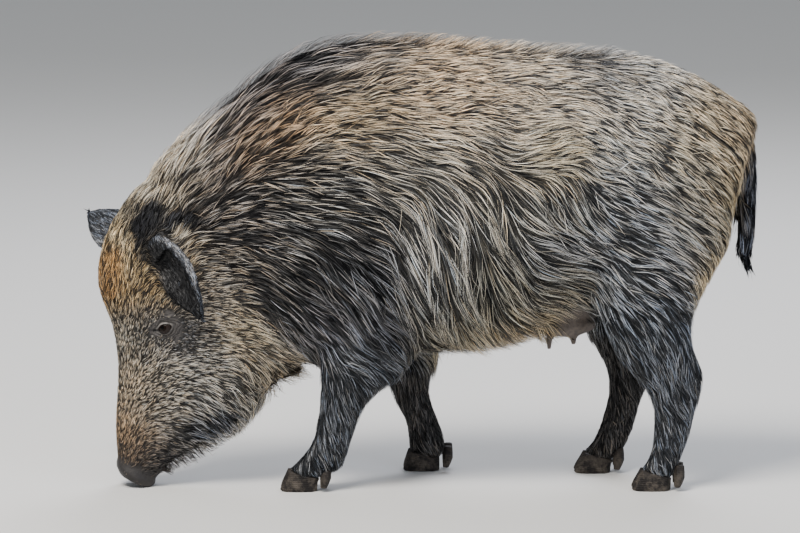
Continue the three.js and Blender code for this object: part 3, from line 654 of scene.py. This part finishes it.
# ---------- the coat ----------
# The winter coat has a dense dark underfur and, over it, long coarse bristles with pale split tips.
# It lies back and down in locks, stands up along the mane and is short on face, ears and feet. Each
# piece of it is thousands of flat tapering tufts rooted in the skin, that run along the lie of the hair.
# For each kind of flesh: the space between tufts of underfur and a bristle's width in millimetres, how
# far tufts gather in strands, how closely they follow the skin, and a strand's size in millimetres.
FUR = {"nose_disc": (5, 0.8, 0, 1, 4), "snout": (2.6, 0.72, 0.3, 0.9, 3.5),
       "lower_jaw": (3.0, 1.0, 0.6, 0.15, 6), "head": (2.7, 0.78, 0.45, 0.75, 4),
       "neck": (3.4, 0.85, 0.55, 0.55, 5), "forequarters": (3.6, 0.78, 0.55, 0.55, 5),
       "barrel": (3.6, 0.78, 0.55, 0.55, 5), "hindquarters": (3.5, 0.88, 0.55, 0.55, 5),
       "udder": (7, 0.9, 0, 0.7, 10), "tail": (2.4, 1.1, 0.3, 0.4, 5),
       "tail_tuft": (2.0, 1.1, 0.4, 0.15, 6), "ear": (2.4, 0.8, 0.3, 0.8, 4),
       "shoulder": (3.5, 0.8, 0.55, 0.55, 5), "forearm": (3.0, 0.9, 0.5, 0.35, 5),
       "thigh": (3.5, 0.9, 0.55, 0.55, 5), "shank": (3.0, 0.9, 0.5, 0.3, 5),
       "cannon": (2.8, 0.9, 0.5, 0.45, 5)}
# The pieces that each layer is parted in, and the kinds of flesh that each piece covers.
PIECES = {"face": ("snout", "lower_jaw", "head", "nose_disc"), "neck": ("neck",),
          "shoulder": ("forequarters", "shoulder"), "flank": ("barrel", "udder"),
          "rump": ("hindquarters", "thigh"), "leg": ("forearm", "shank", "cannon"),
          "ear": ("ear",), "tail": ("tail", "tail_tuft")}
SHORT_HAIRED = ("face", "ear")
ONE_PIECE = ("ear", "tail")  # the others are split into a left and a right piece
# For each layer of the coat: how long, wide and high its tufts are next to the bristles of that tract,
# the share of their length at each station, their width there, and how far their colour is a tip's.
LAYERS = {
    "underfur": {"long": (0.55, 0.85), "wide": 2.4, "rise": (0.25, 0.65),
                 "stations": (0, 0.5, 1), "widths": (0.8, 1.0), "tips": (0, 0.6, 1)},
    "bristles": {"long": (0.8, 1.2), "wide": 1.0, "rise": (0.65, 1.05),
                 "stations": (0, 0.22, 0.46, 0.72, 1), "widths": (0.6, 1.0, 0.95, 0.7),
                 "tips": (0, 0.35, 0.85, 1, 0.9)},
    "short_bristles": {"long": (0.8, 1.2), "wide": 1.0, "rise": (0.65, 1.1),
                       "stations": (0, 0.33, 0.68, 1), "widths": (0.7, 1.0, 0.8),
                       "tips": (0, 0.6, 1, 0.9)}}
DARK_BRISTLES = 0.9  # how much of the skin the dark bristles would cover, laid side by side
TIP_GAIN = 1.65  # the sunlit tips are paler than the tract as a whole
LOCK_SIZE = 3.0  # how much larger a lock is than the strands in it
LOCK_GATHER = 0.36
ROOT_DEPTH = 0.0012  # how deep a tuft is rooted in the skin
STRAYS = 0.03  # the share of bristles that lie across the others
PATCH = 0.003  # a tuft's size on the OFBake map
CELL = 0.006  # the nearest skin is known for cells of this size
REACH = 5  # how many cells a tuft may rise over the skin and still follow it

fur = belongs @ (np.array([FUR[kind] for kind in KINDS]) * (0.001, 0.001, 1, 1, 0.001))
light_cover = 0.12 + 2.0 * np.clip(light, 0, 1) ** 1.6
# The hair stands highest from the crown to the withers, above all on the nape.
nape = smoothstep(0.1, 0.55, skin_normal[:, 2]) * np.exp(-(across / 0.065) ** 2) * (1 - EAR[:, 0])
nape *= smoothstep(-0.51, -0.44, along) * (1 - smoothstep(-0.30, -0.02, along))
nape *= 1 + 0.9 * np.exp(-((along + 0.385) / 0.05) ** 2)
hide.calc_loop_triangles()
triangles = values_of(hide.loop_triangles, "vertices", 3, np.int64)
corners = skin_co[triangles]
areas = np.linalg.norm(np.cross(corners[:, 1] - corners[:, 0], corners[:, 2] - corners[:, 0]), axis=1) / 2

# The nearest point of the skin for every small cell of the space round it.
grid_low = skin_co.min(axis=0) - CELL * (REACH + 2)
grid_size = np.ceil((skin_co.max(axis=0) - grid_low) / CELL).astype(int) + REACH + 3
used = np.zeros(grid_size, dtype=bool)
used[tuple(((skin_co - grid_low) / CELL).astype(int).T)] = True
for _ in range(REACH):
    grown = used.copy()
    for axis in range(3):
        grown |= np.roll(used, 1, axis) | np.roll(used, -1, axis)
    used = grown


def nearest_of(places, points):
    """For each point, the number of the nearest of some places."""
    tree = KDTree(len(places))
    for index, place in enumerate(places):
        tree.insert(place, index)
    tree.balance()
    return np.array([tree.find(point)[1] for point in points])


nearest = np.full(grid_size, -1, dtype=np.int64)
nearest[used] = nearest_of(skin_co, grid_low + (np.argwhere(used) + 0.5) * CELL)


def skin_near(points):
    """For each point, the nearest point of the skin, or -1 where it is far from it."""
    at = ((points - grid_low) / CELL).astype(int).clip(0, grid_size - 1)
    return nearest[tuple(at.T)]


def turned(vectors, normals, angles):
    """Vectors along the skin, turned about its normals."""
    return vectors * np.cos(angles)[:, None] + np.cross(normals, vectors) * np.sin(angles)[:, None]


def combed(roots, lies, normals, length, coat_depth, follow, upright, angles, rise, stations):
    """The places of each tuft's stations, from its root on along the lie of the coat."""
    follow, upright = follow[:, None] * (1 - 0.8 * upright[:, None]), upright[:, None]
    places = [roots]
    going = turned(lies, normals, angles)
    up = normals
    for before, t in zip(stations, stations[1:]):
        slope = rise * coat_depth / length * (1.9 - 1.8 * t)
        step = unit(going + up * slope[:, None].clip(-0.5, 2.2))
        place = places[-1] + step * (length * (t - before))[:, None]
        near = skin_near(place)
        known = (near >= 0)[:, None]
        up = np.where(known, skin_normal[near], up)
        over = ((place - skin_co[near]) * up).sum(axis=1, keepdims=True)
        wanted = (coat_depth * rise)[:, None] * (1 - (1 - t) ** (1.7 - 0.6 * upright))
        low = wanted * (0.55 + 0.4 * upright)
        pull = np.where(over < low, low - over, np.minimum(wanted - over, 0) * follow)
        place = place + np.where(known, pull, 0) * up
        here = turned(lie[near], up, angles)
        going = unit(np.where(known, going * (1 - follow) + here * follow, going))
        going = unit(going - np.array((0, 0, 0.10)) * (1 - follow))
        places.append(place)
    return places


def unwrapped(faces, name):
    """The place of each corner of these triangles on an unwrap of the skin's own shape, from 0 to 1."""
    used_points, index = np.unique(faces, return_inverse=True)
    patch = bpy.data.meshes.new(name + "_unwrap")
    patch.from_pydata(skin_co[used_points].tolist(), [], index.reshape(-1, 3).tolist())
    patch.uv_layers.new(name="unwrap")
    holder = piece_from(patch, name + "_unwrap")
    bpy.context.view_layer.objects.active = holder
    for other in bpy.context.selected_objects:
        other.select_set(False)
    holder.select_set(True)
    bpy.ops.object.mode_set(mode="EDIT")
    bpy.ops.mesh.select_all(action="SELECT")
    bpy.ops.uv.smart_project(angle_limit=math.radians(70), island_margin=0.004)
    bpy.ops.object.mode_set(mode="OBJECT")
    uv = values_of(patch.uv_layers["unwrap"].data, "uv", 2)
    bpy.data.objects.remove(holder)
    bpy.data.meshes.remove(patch)
    return uv.reshape(-1, 3, 2).clip(0, 1)


def coat_piece(name, chosen, chosen_uv, layer, seed):
    """One layer of the coat over the chosen triangles of the skin."""
    random = np.random.default_rng(seed)
    settings = LAYERS[layer]
    stations = settings["stations"]
    is_under = layer == "underfur"

    def per_face(values):
        return values[triangles[chosen]].mean(axis=1)

    if is_under:
        density = 1 / per_face(fur[:, 0]) ** 2
    else:
        cover = per_face(light_cover)
        dark_share = DARK_BRISTLES / (DARK_BRISTLES + cover)
        density = (cover + DARK_BRISTLES) / (0.75 * per_face(looks[:, 0]) * per_face(fur[:, 1]))
    bareness = np.minimum(per_face(bare) * 1.3, 1)
    wanted = areas[chosen] * density * (1 - 0.97 * bareness)  # bare skin keeps a few hairs
    count = int(wanted.sum())
    ends = np.cumsum(wanted)
    picked = np.searchsorted(ends, (np.arange(count) + random.uniform(0, 1, count)) / count * ends[-1])
    picked = picked.clip(0, len(chosen) - 1)
    triangle = triangles[chosen[picked]]
    share = random.uniform(0, 1, (count, 2))
    share = np.where(share.sum(axis=1, keepdims=True) > 1, 1 - share, share)
    share = np.concatenate([1 - share.sum(axis=1, keepdims=True), share], axis=1)

    def sampled(values):
        return (values[triangle] * (share[..., None] if values.ndim == 2 else share)).sum(axis=1)

    roots = sampled(skin_co) - ROOT_DEPTH * sampled(skin_normal)
    normals = unit(sampled(skin_normal))
    lies = unit(sampled(lie))
    _, width, gather, follow, strand_size = sampled(fur).T
    coat_depth = sampled(depth[:, 0])
    length = sampled(looks[:, 0]) * (1 - 0.6 * sampled(bare))
    longness = smoothstep(0.030, 0.08, length)
    gather, strand_size = gather * (0.75 + 0.35 * longness), strand_size * (0.65 + 0.45 * longness)

    # Tufts gather in strands and strands in locks, each led by one tuft with a turn, a length and a
    # tone of its own.
    if not is_under:
        strand_size = np.maximum(strand_size, 1.3 / np.sqrt(density[picked]))
    spacing = 1 / np.sqrt(density[picked])
    strands = np.flatnonzero(random.uniform(0, 1, count) < (spacing / strand_size) ** 2)
    strand = nearest_of(roots[strands], roots)
    locks = strands[random.uniform(0, 1, len(strands)) < LOCK_SIZE ** -2]
    lock = nearest_of(roots[locks], roots)
    lock_turn = random.normal(0, 0.10, len(locks)) + 0.12 * waves(roots[locks], 0.05, 3)
    lock_rise = random.uniform(0.8, 1.1, len(locks))
    strand_turn = random.normal(0, 1, len(strands)) * (0.2 - 0.1 * longness[strands])
    strand_turn = lock_turn[lock[strands]] + strand_turn
    strand_rise = lock_rise[lock[strands]] * random.uniform(0.85, 1.08, len(strands))
    strand_long = random.uniform(0.85, 1.15, len(strands))
    strand_tone = random.normal(0, 1, len(strands))
    lock_tone = random.normal(0, 1, len(locks))
    low, high = settings["rise"]
    rise = strand_rise[strand] * random.uniform(low, high, count)
    long = strand_long[strand] * random.uniform(*settings["long"], count)
    angles = strand_turn[strand] + random.normal(0, 0.07, count)
    loose = np.maximum(1.5 * sampled(crest), sampled(under) * 0.8)
    on_nape = sampled(nape)
    upright = np.maximum(np.maximum(sampled(crest), on_nape), sampled(under)).clip(0, 1)
    upright = (0.3 if is_under else 1) * upright
    beard = sampled(under) * sampled(share_of("lower_jaw")[:, 0])
    rise += on_nape * random.uniform(0.6, 1.7, count) * (0.5 if is_under else 1)
    ruffled = loose * random.uniform(-0.1, 0.8, count) + beard * random.uniform(0, 1, count)
    rise += (0 if is_under else 1) * ruffled
    stray = random.uniform(0, 1, count) < (0 if is_under else STRAYS)
    angles = np.where(stray, random.normal(0, 0.4, count), angles)
    rise = np.where(stray, random.uniform(1.0, 1.3, count), rise)

    # Pale bristles lie over the dark ones.
    if is_under:
        uneven = (1 + 0.6 * strand_tone[strand] + 0.3 * lock_tone[lock]) * random.uniform(0.2, 1.8, count)
        paleness = np.clip(0.14 * sampled(light) * uneven, 0, 0.4)
    else:
        on_leg = sampled(LEG[:, 0])
        strand_contrast = (1.6 + 0.8 * longness) * (1 - 0.5 * on_leg)
        patchy = 0.75 * waves(roots, 0.05, 11) + 0.4 * lock_tone[lock]
        patchy = patchy + strand_contrast * strand_tone[strand]
        dark_here = dark_share[picked] / (dark_share[picked] + (1 - dark_share[picked]) * np.exp(-patchy))
        is_dark = random.uniform(0, 1, count) < dark_here
        dark_tone, pale_tone = 0.24 * random.uniform(0, 1, count) ** 4, random.uniform(0.65, 1, count)
        paleness = np.where(is_dark, dark_tone, pale_tone)
        rise = rise * np.where(is_dark, 0.85, 1.0)

    def comb(at, turns, lengths, rises):
        return combed(roots[at], lies[at], normals[at], lengths, coat_depth[at], follow[at], upright[at],
                      turns, rises, stations)

    places = comb(np.arange(count), angles, length * long, rise)
    mean_long, mean_rise = sum(settings["long"]) / 2, (low + high) / 2
    strand_places = comb(strands, strand_turn, length[strands] * strand_long * mean_long,
                         strand_rise * mean_rise)
    lock_places = comb(locks, lock_turn, length[locks] * mean_long, lock_rise * mean_rise)
    away = np.linalg.norm(roots - roots[strands][strand], axis=1)
    gather = gather * smoothstep(2.4, 1.0, away / strand_size) * np.where(stray, 0.1, 1)
    away = np.linalg.norm(roots - roots[locks][lock], axis=1)
    lock_gather = LOCK_GATHER * smoothstep(2.0, 0.8, away / strand_size / LOCK_SIZE)
    lock_gather = lock_gather * np.where(stray, 0.1, 1)
    for place, t, leading, leading_lock in zip(places, stations, strand_places, lock_places):
        if t > 0:
            place += (gather * t ** 0.9)[:, None] * (leading[strand] - place)
            place += (lock_gather * t ** 1.6)[:, None] * (leading_lock[lock] - place)

    # Each tuft is a ribbon of quads that ends in a triangle, rolled a little about its own length.
    tip, base = sampled(tip_colour) * TIP_GAIN, sampled(root_colour) * 0.8
    brightness = np.exp(random.normal(0, 0.3, count))
    warm = random.normal(0, 0.06, count)[:, None]
    tip = mixed(base, tip * brightness[:, None] * (1 + warm * (1, 0, -1.4)), paleness[:, None])
    roll = random.normal(0, 0.5, count)[:, None]
    half_width = width * settings["wide"] / 2 * random.uniform(0.75, 1.2, count)
    co, colours, patch_at = [], [], []
    last = len(stations) - 1
    for number, (t, blend) in enumerate(zip(stations, settings["tips"])):
        ahead = places[min(number + 1, last)] - places[max(number - 1, 0)]
        near = skin_near(places[number])
        outward = np.where((near >= 0)[:, None], skin_normal[near], normals)
        side = unit(np.cross(ahead, outward))
        side = side * np.cos(roll) + unit(np.cross(side, ahead)) * np.sin(roll)
        # Toward its root each tuft's colour is the root colour painted darker by 0.7, as painted shade
        # deep in the coat.
        tone = base * 0.7 + (tip - base * 0.7) * blend
        for sign in ((0,) if number == last else (-1, 1)):
            spot = places[number]
            if sign:
                spot = spot + sign * side * (half_width * settings["widths"][number])[:, None]
            co.append(spot)
            colours.append(tone)
            patch_at.append((sign * 0.5, t - 0.5))
    per = len(co)
    pattern = [index for s in range(last - 1) for index in (2 * s, 2 * s + 1, 2 * s + 3, 2 * s + 2)]
    pattern += [per - 3, per - 2, per - 1]
    totals = np.tile([4] * (last - 1) + [3], count)
    loops = (np.arange(count)[:, None] * per + np.array(pattern)).ravel()
    mesh = bpy.data.meshes.new(name)
    mesh.vertices.add(count * per)
    mesh.vertices.foreach_set("co", np.stack(co, axis=1).astype(np.float32).ravel())
    mesh.loops.add(len(loops))
    mesh.loops.foreach_set("vertex_index", loops.astype(np.int32))
    mesh.polygons.add(len(totals))
    starts = np.concatenate([[0], np.cumsum(totals)[:-1]])
    mesh.polygons.foreach_set("loop_start", starts.astype(np.int32))
    mesh.polygons.foreach_set("use_smooth", np.ones(len(totals), dtype=bool))
    mesh.update(calc_edges=True)
    paint(mesh, "marks", np.stack(colours, axis=1).reshape(-1, 3))
    root_uv = (chosen_uv[picked] * share[..., None]).sum(axis=1) * (1 - 2 * PATCH) + PATCH
    uv = (root_uv[:, None] + np.array(patch_at)[None] * PATCH).reshape(-1, 2)
    layer_uv = mesh.uv_layers.new(name="OFBake")
    layer_uv.data.foreach_set("uv", uv[loops].astype(np.float32).ravel())
    mesh.materials.append(boar_underfur if is_under else boar_bristle)
    piece = piece_from(mesh, name)
    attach(piece, "root")


# Boar bristle: a coarse, stiff hair with a waxy but not glossy surface, and a faint grain of 2.4 mm.
# Underfur is the same hair, finer and woolly, so it scatters what light reaches it and hardly shines.
HAIR_GRAIN = 420.0  # to the metre


def hair_of(name, roughness, specular):
    """A kind of hair, coloured by the marks of its piece."""
    made, tree, shader = material(name, {"Roughness": roughness, "IOR": 1.55,
                                         "Specular IOR Level": specular})
    marks = node(tree, "Attribute", attribute_name="marks").outputs["Color"]
    place = node(tree, "TexCoord").outputs["Object"]
    grain = node(tree, "TexNoise", {"Vector": place, "Scale": HAIR_GRAIN, "Detail": 3.0,
                                    "Roughness": 0.6})
    shade = node(tree, "MapRange", {"Value": grain.outputs["Fac"], "From Min": 0.3, "From Max": 0.7,
                                    "To Min": 0.72, "To Max": 1.28})
    tone = node(tree, "VectorMath", {0: marks, 1: shade.outputs[0]}, operation="MULTIPLY")
    tree.links.new(tone.outputs[0], shader.inputs["Base Color"])
    return made


boar_bristle = hair_of("boar_bristle", 0.45, 0.4)
boar_underfur = hair_of("boar_underfur", 0.85, 0.12)
seed = 100
left_side = skin_co[:, 1] < ZERO[1]
for name, kinds in PIECES.items():
    of_kind = np.isin(labels, [KINDS.index(kind) for kind in kinds])
    whole = name in ONE_PIECE
    sides = [("", left_side | ~left_side)] if whole else [("_left", left_side), ("_right", ~left_side)]
    for side_name, of_side in sides:
        chosen = np.flatnonzero((of_kind & of_side)[triangles[:, 0]])
        chosen_uv = unwrapped(triangles[chosen], name)
        for layer in ("underfur", "short_bristles" if name in SHORT_HAIRED else "bristles"):
            seed += 10
            coat_piece(f"{name}_{layer}{side_name}", chosen, chosen_uv, layer, seed)

# ---------- the floor, the light and the camera ----------
# A plain pale floor under a pale studio dome, with one broad soft lamp high on the left as on a bright
# cloudy day, and a long lens a little above the animal's back.
floor_mesh = bpy.data.meshes.new("floor")
ground = bmesh.new()
bmesh.ops.create_grid(ground, x_segments=1, y_segments=1, size=40)
ground.to_mesh(floor_mesh)
ground.free()
# Matt floor paint, pale and even, so that it shows no more than a soft shadow.
floor_paint, *_ = material("pale_floor_paint", {"Base Color": (*linear("#dad9d6"), 1), "Roughness": 0.8})
floor_mesh.materials.append(floor_paint)
floor = piece_from(floor_mesh, "floor")

world = bpy.data.worlds.new("studio")
world.use_nodes = True
sky = world.node_tree.nodes["Background"].inputs
sky["Color"].default_value, sky["Strength"].default_value = (*linear("#e6ebf2"), 1), 0.5
bpy.context.scene.world = world

CAMERA_DISTANCE, CAMERA_RISE, CAMERA_LENS = 8.0, math.radians(8.5), 200
AIM_HEIGHT = 0.39
camera = piece_from(bpy.data.cameras.new("camera"), "camera")
bpy.context.scene.camera = camera
aim = Vector(ZERO) + Vector((0, 0, AIM_HEIGHT))
camera.data.lens = CAMERA_LENS
camera.data.clip_end = 80
camera.location = aim + CAMERA_DISTANCE * Vector((0, -math.cos(CAMERA_RISE), math.sin(CAMERA_RISE)))
camera.rotation_euler = (aim - camera.location).to_track_quat("-Z", "Y").to_euler()

# The place, size, power and colour of each lamp.
LAMPS = [("key", (-1.6, -2.4, 4.8), 2.2, 430, "#fffaf3"), ("fill", (3.0, -3.5, 2.4), 3.0, 60, "#e6edff"),
         ("rim", (0.8, 3.2, 3.8), 2.5, 150, "#f2f5ff")]
for lamp_name, place, size, power, colour in LAMPS:
    lamp = piece_from(bpy.data.lights.new(lamp_name, "AREA"), lamp_name)
    lamp.data.size = size
    lamp.data.energy = power
    lamp.data.color = linear(colour)
    lamp.location = place
    lamp.rotation_euler = (Vector((0, 0, 0.4)) - lamp.location).to_track_quat("-Z", "Y").to_euler()
